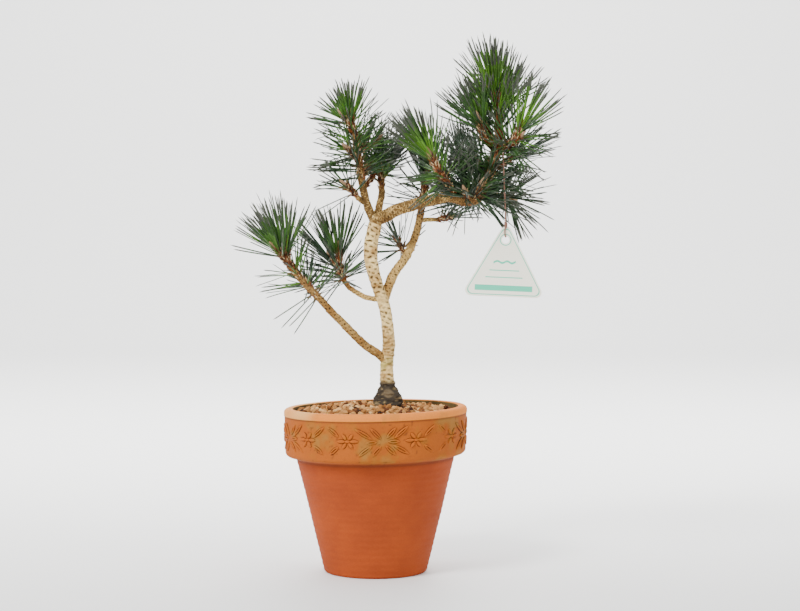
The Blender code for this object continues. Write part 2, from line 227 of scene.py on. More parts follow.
def setTint(mesh, colours):
    # One colour for each vertex, which tintedMaterial reads
    tint = mesh.attributes.new("tint", "FLOAT_COLOR", "POINT")
    whole = np.concatenate([np.asarray(colours), np.ones((len(colours), 1))], axis=1)
    tint.data.foreach_set("color", whole.astype(np.float32).ravel())


def setSockets(node, values):
    # Socket names are given with _ for each space
    for socket, value in values.items():
        node.inputs[socket.replace("_", " ")].default_value = value


def plainMaterial(name, colour, roughness, **sockets):
    material = bpy.data.materials.new(name)
    material.use_nodes = True
    shader = material.node_tree.nodes["Principled BSDF"]
    setSockets(shader, {"Base Color": (*colour, 1), "Roughness": roughness, **sockets})
    return material


def numberedMaterials(name, colours, roughness, **sockets):
    return [plainMaterial(f"{name}_{number}", colour, roughness, **sockets)
            for number, colour in enumerate(colours)]


def addNode(tree, kind, **sockets):
    node = tree.nodes.new(kind)
    setSockets(node, sockets)
    return node


def tintedMaterial(name, roughness, grain, depth, speckle):
    # Base colour: the tint, times a number between 1 - speckle and 1 + speckle that follows noise
    # of that grain. The same noise raises the surface by depth in a bump
    material = plainMaterial(name, (0.5, 0.5, 0.5), roughness, Specular_IOR_Level=0.12)
    tree = material.node_tree
    shader = tree.nodes["Principled BSDF"]
    tint = addNode(tree, "ShaderNodeAttribute")
    tint.attribute_name = "tint"
    place = addNode(tree, "ShaderNodeTexCoord")
    fine = addNode(tree, "ShaderNodeTexNoise", Scale=1 / grain, Detail=4)
    share = addNode(tree, "ShaderNodeMapRange", From_Min=0.3, From_Max=0.7,
                    To_Min=1 - speckle, To_Max=1 + speckle)
    mixed = addNode(tree, "ShaderNodeVectorMath")
    mixed.operation = "SCALE"
    bump = addNode(tree, "ShaderNodeBump", Strength=0.6, Distance=depth)
    for source, target in ((place.outputs["Object"], fine.inputs["Vector"]),
                           (fine.outputs["Fac"], share.inputs["Value"]),
                           (tint.outputs["Color"], mixed.inputs[0]),
                           (share.outputs["Result"], mixed.inputs["Scale"]),
                           (mixed.outputs["Vector"], shader.inputs["Base Color"]),
                           (fine.outputs["Fac"], bump.inputs["Height"]),
                           (bump.outputs["Normal"], shader.inputs["Normal"])):
        tree.links.new(source, target)
    return material


# Pot

pot = {
    "rim": 0.1, "height": 0.18, "foot": 0.056, "underBand": 0.0872, "band": 0.052, "columns": 432,
    "wall": 0.0085, "floor": 0.0095, "lip": 0.0095, "innerTop": 0.003, "footRound": 0.0035,
    "faceTop": 0.0088, "faceHeight": 0.0362, "faceInset": 0.0006, "faceLean": 0.001,
    "slope": 0.019, "slopeFrom": 0.07, "slopeOver": 0.06, "drain": 0.005, "drainCircle": 0.026,
    "body": (0.33, 0.056, 0.0), "bandColour": (0.37, 0.09, 0.004), "lipColour": (0.66, 0.205, 0.03),
    "inner": (0.13, 0.085, 0.03), "patina": (0.27, 0.14, 0.032), "paintedLipLight": (0.7, 0.43, 0.17),
    "dark": (0.06, 0.02, 0.006),
    "cells": {"wide": 0.03, "blotch": 0.011, "small": 0.005, "fine": 0.0022, "speck": 0.0026},
}


def bodyRadius(z):
    # The body widens evenly from the foot to the underside of the band
    return pot["foot"] + (pot["underBand"] - pot["foot"]) * z / (pot["height"] - pot["band"])


def innerRadius(z):
    # The inside widens evenly from the floor to just under the lip
    bottom = bodyRadius(pot["floor"]) - pot["wall"]
    top = pot["rim"] - pot["lip"]
    rise = pot["height"] - pot["innerTop"] - pot["floor"]
    return bottom + (top - bottom) * (z - pot["floor"]) / rise


def bandRadius(share):
    # The band's face leans in a little, from share 0 at its top to 1 at its foot
    return pot["rim"] - pot["faceInset"] - pot["faceLean"] * share


def rimLift(points):
    # The slope times x, growing from nothing at slopeFrom to all of it slopeOver higher
    share = np.clip((points[:, 2] - pot["slopeFrom"]) / pot["slopeOver"], 0, 1)
    return pot["slope"] * points[:, 0] * share


def potProfile():
    # Radius and height from the middle of the floor up the inside, over the lip, down the band and
    # the body and in under the foot. The body bears faint turning marks, a sine of the height
    rim, high, floor, bend = pot["rim"], pot["height"], pot["floor"], pot["footRound"]
    low = high - pot["band"]
    inside = [(0.004, floor), (0.03, floor), (innerRadius(floor) - 0.006, floor)]
    inside += [(innerRadius(z), z) for z in np.linspace(floor + 0.006, high - pot["innerTop"], 40)]
    lip = [arc((rim - 0.008, high - 0.002), 0.002, 150, 90, 4),
           arc((rim - 0.0045, high - 0.0045), 0.0045, 90, 0, 9),
           arc((rim - 0.0012, high - 0.0072), 0.0012, 20, -60, 4)]
    share = np.linspace(0, 1, 30)
    face = np.column_stack([bandRadius(share), high - pot["faceTop"] - pot["faceHeight"] * share])
    under = arc((rim - 0.0066, low + 0.005), 0.005, -5, -85, 8)
    z = np.linspace(low - 0.0025, 0.004, 70)
    body = np.column_stack([bodyRadius(z) + 0.0002 * np.sin(z * 900), z])
    foot = arc((bodyRadius(bend) - bend, bend), bend, -10, -90, 5)
    base = [(0.04, 0), (0.02, 0), (0.004, 0)]
    return np.vstack([inside, *lip, face, under, body, foot, base])


def potColours(points):
    # Fired clay by height: body, band and lip, each one toned by noise of several cells, with
    # painted shade as dark lines in the corners between them, a lip painted lighter towards the
    # lamp-lit left, and a browner inside
    high, low = pot["height"], pot["height"] - pot["band"]
    radius = np.hypot(points[:, 0], points[:, 1])
    level = points[:, 2] - rimLift(points)
    turn = np.arctan2(points[:, 1], points[:, 0])
    cells = pot["cells"]
    wide = noise(points, cells["wide"], 1)
    blotch = noise(points, cells["blotch"], 2) + 0.5 * noise(points, cells["small"], 3)
    fine = noise(points, cells["fine"], 4)
    patches = 0.5 + 0.5 * wide
    colours = blend(pot["body"], np.array(pot["body"]) * 0.8, patches)
    colours = colours * (1 + 0.05 * blotch[:, None] + 0.03 * fine[:, None])
    band = blend(pot["bandColour"], np.array(pot["bandColour"]) * 0.78, patches)
    band = blend(band, pot["patina"], 0.65 * ramp(blotch + 0.8 * wide, -0.2, 1.1))
    band = blend(band, pot["dark"], 0.55 * ramp(noise(points, cells["speck"], 5), 0.66, 0.8))
    colours = blend(colours, band, ramp(level, low - 0.002, low + 0.001))
    # Painted shade: a dark line on the body just under the band's overhang
    corner = ramp(-np.abs(level - low + 0.003), -0.0035, -0.0005)
    colours = blend(colours, pot["dark"], 0.55 * corner)
    # Painted light: the lip turns paler towards the left, the side the key lamp lights, with noise
    # varying it
    lip = blend(pot["lipColour"], pot["paintedLipLight"], 0.75 * ramp(-np.cos(turn) + 0.35 * wide, 0.45, 1.1))
    lip = blend(lip, pot["patina"], 0.35 * ramp(blotch, 0.3, 0.9))
    colours = blend(colours, lip, ramp(level, high - 0.0085, high - 0.0065))
    # Painted shade: a dark line in the crease between the lip's bead and the band
    creaseShade = ramp(-np.abs(level - (high - 0.0082)), -0.0012, -0.0002)
    colours = blend(colours, pot["dark"], 0.6 * creaseShade)
    within = (radius < innerRadius(level) + 0.0015) & (level > pot["floor"] - 0.001)
    inner = blend(pot["inner"], np.array(pot["inner"]) * 0.6, 0.5 + 0.5 * blotch)
    colours = np.where((within & (level < high - 0.0005))[:, None], inner, colours)
    underside = (radius < innerRadius(level) + 0.004) & (level < 0.001)
    colours = np.where(underside[:, None], np.array(pot["body"]) * 0.9, colours)
    return np.clip(colours, 0.01, 1)


def makePot():
    # The profile turned round the z axis, tilted by rimLift, pushed outward by noise and drilled
    rings = turnedRings(potProfile(), pot["columns"])
    flat = rings.reshape(-1, 3)
    outward = flat * [1, 1, 0] / np.maximum(np.hypot(flat[:, 0], flat[:, 1]), 1e-9)[:, None]
    level = flat[:, 2].copy()
    flat[:, 2] += rimLift(flat)
    uneven = 0.00035 * noise(flat, 0.035, 6) + 0.00012 * noise(flat, 0.006, 7)
    flat = flat + outward * (uneven * ramp(level, 0.01, 0.02))[:, None]
    points, quads, fans = closedTubes(flat.reshape(1, *rings.shape),
                                      np.array([[0, 0, pot["floor"]]]), np.zeros((1, 3)))
    # The profile runs outward over the top, so its faces are taken the other way round
    body = addObject("pot_before_drains", makeMesh("pot", points, quads[:, ::-1], fans[:, ::-1]))
    drills = []
    for number in range(3):
        bm = bmesh.new()
        bmesh.ops.create_cone(bm, cap_ends=True, segments=28, radius1=pot["drain"],
                              radius2=pot["drain"], depth=0.04)
        drill = addObject(f"drain_{number}", bpy.data.meshes.new("drain"))
        bm.to_mesh(drill.data)
        bm.free()
        angle = math.radians(90 + 120 * number)
        reach = pot["drainCircle"]
        drill.location = (reach * math.cos(angle), reach * math.sin(angle), 0.004)
        body.modifiers.new("drain", "BOOLEAN").object = drill
        drills.append(drill)
    whole = evaluatedMesh(body)
    for thing in [body, *drills]:
        bpy.data.objects.remove(thing)
    setTint(whole, potColours(vertexPlaces(whole).astype(float)))
    addPiece("pot_thrown", whole, [potMaterial], ["pot"])


# Leaves raised from the band, for one repeat of the pattern: degrees round the pot from its front
# and millimetres over the band's middle, first of a leaf's foot and then of its tip. A rosette has
# its middle here, and its petals have a direction in degrees and a length in millimetres
ornament = {
    "repeats": 5, "repeatDegrees": 72, "phase": 5.5, "middle": 0.1515,
    "spray": [(-6.3, 2, -17.7, 14), (-1, 2, -8.3, 15), (1.5, 3, 7.9, 15), (6.4, 3, 15.6, 16),
              (-3.4, -0.5, -10.8, -1.2), (2.4, 0, 10.4, 0), (-6.4, -4, -15.6, -15.5),
              (-1, -4, -7.2, -16), (1, -3.5, 7.8, -14.5), (5.8, -3.5, 16.4, -14)],
    "singles": [(26, 3.5, 34.5, 15), (26, -5, 33.5, -14), (-27.5, 5, -35, 15),
                (-27.5, -5, -34, -14)],
    "rosettes": [(20.6, 0.5), (-22, 0.5)],
    "petals": [(0, 10.6), (52, 8.2), (128, 8.2), (180, 10.6), (232, 8), (308, 8)],
    "width": 0.0062, "petalWidth": 0.0054, "eyeWidth": 0.0046, "eyeDegrees": 1.7, "petalFrom": 1.9,
    "relief": 0.0012, "body": 0.7, "slotWidth": 0.15, "rimShade": 0.84, "slotShade": 0.9,
}


def ornamentLeaves():
    # One row for each leaf: its foot and tip in degrees and millimetres, its width, 1 for a slot
    leaves = []
    perDegree = math.radians(1) * pot["rim"] * 1000
    near, eye = ornament["petalFrom"], ornament["eyeDegrees"]
    for repeat in range(ornament["repeats"]):
        turned = ornament["phase"] + repeat * ornament["repeatDegrees"]
        for a, h, b, g in ornament["spray"] + ornament["singles"]:
            leaves.append((turned + a, h, turned + b, g, ornament["width"], 1))
        for angle, height in ornament["rosettes"]:
            angle += turned
            for way, reach in ornament["petals"]:
                cos, sin = math.cos(math.radians(way)), math.sin(math.radians(way))
                far = near + reach
                leaves.append((angle + near / perDegree * cos, height + near * sin,
                               angle + far / perDegree * cos, height + far * sin,
                               ornament["petalWidth"], 0))
            leaves.append((angle - eye, height, angle + eye, height, ornament["eyeWidth"], 0))
    return np.array(leaves, float)


def makeOrnament():
    # Every leaf is a patch over s, from foot to tip, and v, across. Its half width is
    # sin(pi s)^0.6; its section rises by 1 - |v|^4 inside a dark rim, less a slot along its middle
    leaves = ornamentLeaves()
    along, across = 20, 17
    s = np.linspace(0.01, 0.99, along)[None, :, None]
    v = np.linspace(-1, 1, across)[None, None]
    inner = np.clip(np.abs(v) / ornament["body"], 0, 1)
    body = (1 - inner**4) * np.minimum(1, 7 * np.minimum(s, 1 - s))
    slot = np.exp(-(v / ornament["slotWidth"]) ** 2) * leaves[:, 5, None, None]
    slot = slot * ramp(s, 0.16, 0.3) * (1 - ramp(s, 0.66, 0.82))
    begin = np.stack([np.radians(leaves[:, 0]) * pot["rim"], leaves[:, 1] / 1000], axis=1)
    finish = np.stack([np.radians(leaves[:, 2]) * pot["rim"], leaves[:, 3] / 1000], axis=1)
    way = unit(finish - begin)
    aside = np.stack([-way[:, 1], way[:, 0]], axis=1)
    middle = begin[:, None] + (finish - begin)[:, None] * s[0]
    reach = np.sin(np.pi * s) ** 0.6 * (leaves[:, 4] / 2)[:, None, None]
    # Three points behind the patch, sunk in the band, close its section
    spread = np.concatenate([reach * v, reach * np.array([0.7, 0.0, -0.7])], axis=2)
    flat = middle[:, :, None] + aside[:, None, None] * spread[..., None]
    rise = ornament["relief"] * (body - 0.95 * slot) + 0.00015 - 0.0006 * np.abs(v) ** 24
    out = np.concatenate([rise, np.full((len(leaves), along, 3), -0.0008)], axis=2)
    level = ornament["middle"] + flat[..., 1]
    radius = bandRadius((pot["height"] - pot["faceTop"] - level) / pot["faceHeight"]) + out
    angle = flat[..., 0] / pot["rim"] - np.pi / 2
    rings = np.stack([radius * np.cos(angle), radius * np.sin(angle), level], axis=-1)
    rings[..., 2] += pot["slope"] * rings[..., 0]
    middles = rings.mean(axis=2)
    points, quads, fans = closedTubes(rings, middles[:, 0], middles[:, -1])
    mesh = makeMesh("rim_leaves", points, quads, fans)
    fixNormals(mesh)
    # Painted shade: each leaf's rim and the slot along its middle are darkened
    shade = np.ones(rings.shape[:3])
    edge = 1 - ornament["rimShade"] * ramp(np.abs(v), 0.6, 0.76)
    shade[:, :, :across] = edge * (1 - ornament["slotShade"] * slot)
    shade = shade.reshape(len(leaves), -1)
    shade = np.concatenate([shade, np.full((len(leaves), 2), 0.5)], axis=1).ravel()
    # Read just inside the band, the clay's own colour, a little lighter
    colours = potColours(points * [0.9985, 0.9985, 1]) * (1.08 * shade)[:, None]
    setTint(mesh, np.clip(colours, 0, 1))
    addPiece("rim_leaves", mesh, [potMaterial])


# Fired grains

soil = {
    "top": 0.1792, "fall": 0.0052, "rim": 0.0885, "spacing": 0.007, "shake": 0.16, "uneven": 0.0012,
    "layers": ((0.0, 0.0), (-0.003, 0.5)), "size": (0.0028, 0.0045), "lumps": (0.86, 1.14),
    "cuts": 7, "cutAt": (0.6, 0.86), "wide": (0.74, 1), "thick": (0.62, 0.95),
    "colours": [(0.42, 0.2, 0.065), (0.3, 0.13, 0.038), (0.56, 0.3, 0.11), (0.22, 0.085, 0.026),
                (0.1, 0.036, 0.014), (0.64, 0.4, 0.17), (0.04, 0.018, 0.01), (0.34, 0.27, 0.03)],
    "odds": [0.24, 0.2, 0.16, 0.14, 0.12, 0.06, 0.07, 0.01], "under": (0.05, 0.024, 0.012),
}


def makeSubstrate():
    # The filling under the grains: its own profile turned round the z axis
    top, rim = soil["top"], soil["rim"]
    profile = [(0.002, top - 0.004), (0.03, top - 0.004), (0.06, top - 0.006)]
    profile += [(rim - 0.001, top - 0.01)]
    profile += [(innerRadius(z) - 0.001, z) for z in (0.12, 0.03, 0.017)]
    profile += [(innerRadius(0.01) - 0.008, 0.01), (0.002, 0.01)]
    rings = turnedRings(np.array(profile), 96)
    points, quads, fans = closedTubes(rings[None], np.array([[0, 0, top - 0.004]]),
                                      np.array([[0, 0, 0.01]]))
    mesh = makeMesh("substrate_base", points, quads[:, ::-1], fans[:, ::-1], smooth=False)
    dark = plainMaterial("shaded_substrate", soil["under"], 0.95)
    addPiece("substrate_base", mesh, [dark], ["substrate"])


def makeGrains():
    # Grains sit on a shaken triangular grid, in two layers. Each one is a ball of 4 rings of 6
    # points, made uneven, cut by random planes, flattened and turned
    places = []
    span = np.arange(-18, 19)
    column, row = np.meshgrid(span, span)
    for drop, shift in soil["layers"]:
        x = (column + 0.5 * (row % 2) + shift) * soil["spacing"]
        y = (row + shift) * soil["spacing"] * 0.866
        grid = np.stack([x.ravel(), y.ravel()], axis=1)
        grid += random.normal(0, soil["shake"] * soil["spacing"], grid.shape)
        grid = grid[np.hypot(grid[:, 0], grid[:, 1]) < soil["rim"] - 0.0032]
        away = np.hypot(grid[:, 0], grid[:, 1])
        level = soil["top"] - soil["fall"] * (away / soil["rim"]) ** 2 + drop
        level += random.normal(0, soil["uneven"], len(grid)) + pot["slope"] * grid[:, 0] * 0.5
        places.append(np.column_stack([grid, level]))
    places = np.vstack(places)
    count = len(places)
    size = random.uniform(*soil["size"], count)
    rise = np.radians([-52, -18, 18, 52])
    ball = turnedRings(np.stack([np.cos(rise), np.sin(rise)], axis=1), 6).reshape(-1, 3)
    ball = np.vstack([ball, [(0, 0, -1), (0, 0, 1)]])
    shapes = ball * random.uniform(*soil["lumps"], (count, len(ball), 1))
    for _ in range(soil["cuts"]):
        plane = unit(random.normal(0, 1, (count, 1, 3)))
        over = (shapes * plane).sum(axis=-1, keepdims=True)
        over = over - random.uniform(*soil["cutAt"], (count, 1, 1))
        shapes = shapes - np.maximum(0, over) * plane
    wide, thick = random.uniform(*soil["wide"], count), random.uniform(*soil["thick"], count)
    shapes = shapes * np.stack([np.ones(count), wide, thick], axis=-1)[:, None]
    turned, _ = np.linalg.qr(random.normal(0, 1, (count, 3, 3)))
    turned[np.linalg.det(turned) < 0, :, 0] *= -1
    shapes = np.einsum("nij,nkj->nki", turned, shapes) * size[:, None, None] + places[:, None]
    rings = shapes[:, :24].reshape(count, 4, 6, 3)
    points, quads, fans = closedTubes(rings, shapes[:, 24], shapes[:, 25])
    dealt = random.choice(len(soil["colours"]), count, p=soil["odds"])
    # The second layer lies in the shade of the first
    dealt[count // 2:] = np.where(dealt[count // 2:] < 3, 4, 6)
    slots = facesDealt(dealt, quads, fans)
    mesh = makeMesh("fired_grains", points, quads, fans, slots, smooth=False)
    looks = numberedMaterials("grain", soil["colours"], 0.92, Specular_IOR_Level=0.1)
    addPiece("fired_grains", mesh, looks)


# Limbs, as measured, in millimetres: the places that each one passes through, its foot and tip
# diameters, and its kind of bark

limbs = {
    "trunk": ([(12.8, 0, 179), (12.5, 0, 210), (12.3, 0, 225), (14.6, -2, 248),
               (13.6, -3, 264), (10, -5, 289), (2.2, -7, 312),
               (-3.7, -8, 333.5), (-5.2, -8, 348.7), (-4, -7, 362),
               (-0.9, -6, 376), (1.8, -5, 387)], 15, 13.6, "pale"),
    "bough_right": ([(-0.5, -6, 379.5), (2, -6, 383.8), (11.5, -7, 388),
                     (25.6, -10, 395.3), (46.5, -13, 401), (67.1, -16, 406.4),
                     (82.2, -17, 407.8), (98.8, -16, 403.3), (112.7, -14, 407.9),
                     (119.7, -12, 420.3), (125.3, -10, 434.8), (130.8, -9, 450.5),
                     (133.6, -8, 461.8)], 14.2, 7.2, "tan"),
    "leader_left": ([(1.2, -6, 377), (-8.8, -6, 399.4), (-14.8, -8, 426),
                     (-18.4, -10, 454.8), (-24.3, -12, 483.8)], 9.2, 6.2, "tan"),
    "bough_inner": ([(0.3, -5, 383), (5.5, 4, 404.6), (6.6, 10, 413.6),
                     (6.5, 16, 427.3)], 8, 6, "tan"),
    "bough_rear": ([(8, -5, 293), (14.2, 4, 311.5), (21.2, 10, 326.8),
                    (33.7, 19, 343.6), (43.3, 26, 365.8), (48.5, 31, 385.5),
                    (53.4, 36, 413)], 10.8, 6.6, "brown"),
    "bough_low_left": ([(12.5, -1, 228.5), (3.8, -4, 237), (-13.2, -10, 249.2),
                        (-32.7, -17, 269.3), (-45.6, -21, 282.5), (-58.5, -25, 297),
                        (-71.4, -28, 310.2), (-82.9, -30, 323.3), (-93.2, -32, 335)],
                       9, 6.4, "brown"),
    "bough_mid_left": ([(7.5, -6, 296.5), (-9.3, 2, 299), (-20.2, 8, 304.1),
                        (-29.7, 14, 310.7), (-37.7, 19, 321.1)], 5.3, 5, "brown"),
    "leader_twig": ([(-8.5, -6, 400), (-16.4, -10, 405.3), (-24, -18, 413.9)],
                    5.4, 4.4, "tan"),
    "bough_rear_twig": ([(48, 30, 382.5), (56, 36, 384.4), (68.7, 46, 384.6)],
                        5, 4.2, "brown"),
}

# Each kind of bark has a light and a dark colour. pitch: from one row of scars to the next; gaps:
# how dark the lines between scales are; browned: where along a bough its bark turns old; flare: the
# trunk's, how much wider and how high; upperFrom: the heights between which the trunk's rings give
# way to scars; footTo: those where its dark foot ends, as minus heights; root and callusAt: middle
# and size
bark = {
    "pale": ((0.9, 0.66, 0.28), (0.37, 0.19, 0.05)),
    "tan": ((0.76, 0.49, 0.17), (0.19, 0.085, 0.022)),
    "brown": ((0.8, 0.53, 0.18), (0.32, 0.155, 0.04)), "scar": (0.03, 0.013, 0.006),
    "base": (0.04, 0.031, 0.022), "callus": (0.13, 0.095, 0.055), "ridge": (0.24, 0.17, 0.085),
    "old": (0.135, 0.055, 0.02), "moss": (0.42, 0.38, 0.09), "step": 0.0008, "around": 60,
    "pitch": {"pale": 0.0056, "tan": 0.0054, "brown": 0.0048}, "gaps": {"tan": 0.9, "brown": 0.55},
    "browned": {"bough_right": (0.46, 0.66), "bough_rear": (0.5, 0.9),
                "bough_low_left": (0.45, 0.95)}, "ground": 0.1805, "flare": (0.0072, 0.017),
    "upperFrom": (0.235, 0.285), "footTo": (-0.212, -0.204),
    "root": ((0.0225, -0.004, 0.189), (0.0105, 0.011, 0.011), 0.004),
    "callusAt": ((0.014, -0.0125, 0.195), (0.0065, 0.01, 0.0055)),
}


def leafScars(bare, turn, travel, pitch):
    # Leaf scars stand in a spiral, 3 rows one way round the limb and 5 the other, shaken by noise.
    # A scale falls from 1 at its middle to 0 at its edge, and a scar is an oval in some of them
    row = turn * 3 / (2 * np.pi) + travel / pitch + 0.3 * noise(bare, 0.0042, 11)
    column = turn * 5 / (2 * np.pi) - travel / (1.7 * pitch) + 0.3 * noise(bare, 0.0042, 31)
    across, down = np.abs(row % 1 - 0.5), np.abs(column % 1 - 0.5)
    scale = np.clip(1 - 2.0 * np.hypot(across, down), 0, 1)
    oval = ramp(-np.hypot(across * 1.2, down * 0.8), -0.33, -0.2)
    return scale, oval * ramp(noise(bare, 0.011, 12), -0.9, -0.3)


def trunkBark(bare, travel, scale, scar, rough, colours, shade):
    # Relief and colours: growth rings and cracks below, scars above, a dark rough foot with a
    # swollen root, and a patch of callus on it
    level = bare[..., 2]
    upper = ramp(level, *bark["upperFrom"])
    below = 1 - 0.7 * upper
    rings = np.exp(-((travel / 0.0105 + 0.1 * noise(bare, 0.02, 15)) % 1 - 0.5) ** 2 / 0.012)
    cracks = ramp(noise(bare * [1, 1, 3.2], 0.0048, 32), 0.05, 0.45)
    base = ramp(-level, *bark["footTo"])
    middle, size, swell = bark["root"]
    root = np.exp(-np.linalg.norm((bare - middle) / size, axis=-1) ** 2)
    relief = 0.0003 * rough + 0.00045 * (rings - cracks) * (1 - upper)
    relief += upper * (0.0004 * scale - 0.0007 * scar) + swell * root
    relief += base * (0.0011 * rough + 0.0007 * noise(bare, 0.006, 17))
    moss = ramp(-np.abs(level - 0.226), -0.012, 0.0) * ramp(noise(bare, 0.008, 18), -0.6, 0.6)
    ridge = ramp(noise(bare * [1, 1, 3.0], 0.0036, 34), 0.35, 0.8)
    middle, size = bark["callusAt"]
    callus = ramp(-np.linalg.norm((bare - middle) / size, axis=-1), -1.0, -0.65)
    for colour, share in ((shade * 0.75, 0.6 * ramp(rings, 0.35, 0.8) * below),
                          (shade * 0.35, 0.85 * cracks * below),
                          (shade * 0.6, 0.5 * ramp(rough, 0.3, 1.0)),
                          (bark["scar"], 0.9 * scar * (0.35 + 0.65 * upper)),
                          (bark["moss"], 0.55 * moss),
                          (bark["base"], base * ramp(noise(bare, 0.005, 19), -1.7, -0.4)),
                          (bark["ridge"], 0.8 * base * ridge), (bark["callus"], callus)):
        colours = blend(colours, colour, share)
    return relief, colours


def boughBark(bare, name, scale, scar, rough, colours, shade):
    # Relief and colours: raised scales with dark lines between them, older towards the tip
    gaps = bark["gaps"][limbs[name][3]] * (1 - ramp(scale + 0.3 * rough, 0.05, 0.5))
    older = 0.8 * ramp(np.linspace(0, 1, len(bare)), *bark["browned"].get(name, (0.55, 0.95)))
    older = older[:, None] * ramp(noise(bare, 0.006, 33), -0.9, 0.4)
    for colour, share in ((shade * 0.35, gaps), (bark["old"], older), (bark["scar"], 0.9 * scar)):
        colours = blend(colours, colour, share)
    return 0.0013 * scale + 0.0004 * rough - 0.0012 * scar, colours


def limbSurface(name):
    # Rings of points round the limb's route, their radius going evenly from foot to tip, pushed
    # out by the bark's relief, and a colour for each point
    knots, foot, tip, kind = limbs[name]
    knots = np.array(knots) / 1000
    steps = int(smoothRoute(knots, 2)[1] / bark["step"])
    route, length = smoothRoute(knots, steps)
    share = np.linspace(0, 1, steps)
    travel = (share * length)[:, None]
    radius = (foot + (tip - foot) * share) / 2000
    if name == "trunk":
        # The flare at the ground, a slight swelling high up and a slight waist under it
        height = route[:, 2] - bark["ground"]
        wide, high = bark["flare"]
        radius = radius + wide * np.exp(-(np.maximum(height, 0) / high) ** 2)
        radius += 0.0008 * np.exp(-((height - 0.175) / 0.03) ** 2)
        radius -= 0.0008 * np.exp(-((height - 0.11) / 0.05) ** 2)
    out, turn = spokes(unit(np.gradient(route, axis=0)), bark["around"])
    bare = route[:, None] + out * radius[:, None, None]
    scale, scar = leafScars(bare, turn, travel, bark["pitch"][kind])
    rough = noise(bare, 0.0035, 13) + 0.6 * noise(bare, 0.0015, 14)
    light, shade = (np.array(colour) for colour in bark[kind])
    colours = blend(light, shade, ramp(noise(bare, 0.012, 16) + 0.5 * rough, -0.7, 1.3))
    if name == "trunk":
        relief, colours = trunkBark(bare, travel, scale, scar, rough, colours, shade)
    else:
        relief, colours = boughBark(bare, name, scale, scar, rough, colours, shade)
    return bare + out * relief[..., None], route, np.clip(colours, 0.01, 1)


def makeLimbs():
    for name in limbs:
        surface, route, colours = limbSurface(name)
        mesh = makeMesh(name, *closedTubes(surface[None], route[:1], route[-1:]))
        ends = [colours[0].mean(axis=0), colours[-1].mean(axis=0)]
        setTint(mesh, np.vstack([colours.reshape(-1, 3), *ends]))
        addPiece(f"{name}_bark", mesh, [barkMaterial], [name])


# Shoots and needles

# How needles stand on each kind of shoot. pairs: how many; start: the share of the shoot where
# they begin; wide and narrow: their lean from it at its foot and its tip; long: their length;
# droop: their downward bend as a share of their length; part: how far each one of a pair leans
# aside. Degrees and metres
kinds = {
    "young": dict(pairs=25, start=0.5, wide=46, narrow=10, long=0.064, droop=0.02, part=6.5),
    "crest": dict(pairs=84, start=0.18, wide=58, narrow=9, long=0.058, droop=0.02, part=6.5),
    "older": dict(pairs=26, start=0.05, wide=98, narrow=50, long=0.056, droop=0.14, part=8.0),
    "dense": dict(pairs=52, start=0.0, wide=112, narrow=56, long=0.058, droop=0.1, part=8.0),
    "short": dict(pairs=30, start=0.4, wide=52, narrow=10, long=0.047, droop=0.02, part=6.5),
    "small": dict(pairs=17, start=0.25, wide=72, narrow=20, long=0.046, droop=0.06, part=7.0),
}
